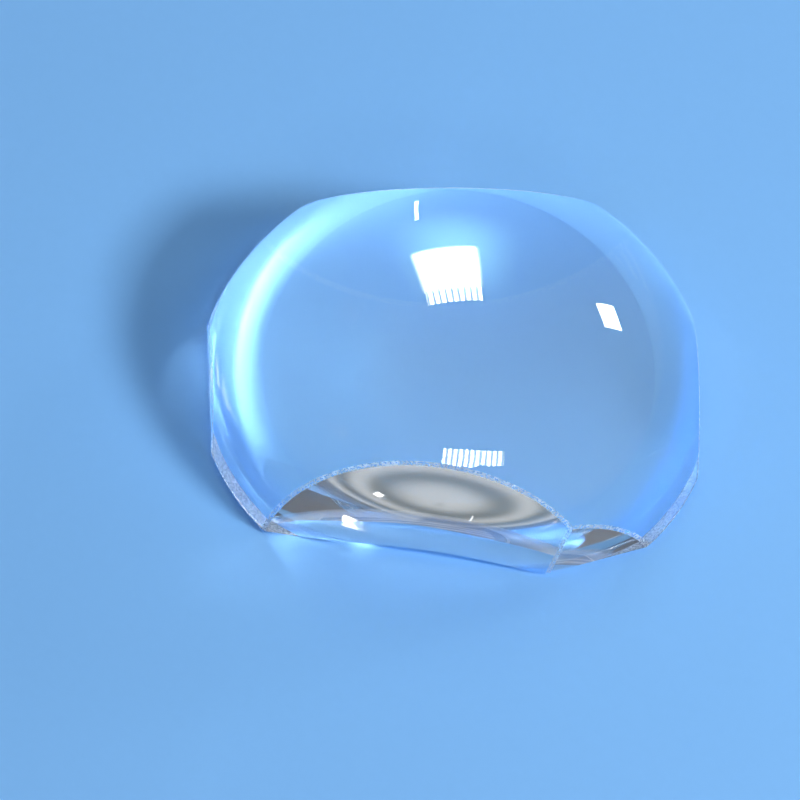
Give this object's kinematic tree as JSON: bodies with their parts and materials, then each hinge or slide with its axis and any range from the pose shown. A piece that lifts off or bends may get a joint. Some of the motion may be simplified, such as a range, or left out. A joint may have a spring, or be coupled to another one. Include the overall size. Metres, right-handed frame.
{
  "type": "convex lens",
  "caption": "Thick glass dome lens: a near-hemispherical convex face over a shallow hollow underside, its round edge trimmed by ground flats, for gathering light.",
  "frame": {"origin": "on the optical axis, in the plane that the lens stands on", "axes": "+Z along the optical axis and out of the dome, -Y towards the front with its two flats, +X towards the right side flat"},
  "size_m": [0.0459, 0.0402, 0.0202],
  "materials": {
    "glass": "clear colourless optical glass, polished dome, hollow and flats, fine ground bevels"
  },
  "bodies": {
    "root": {"lens": "glass"}
  },
  "joints": []
}
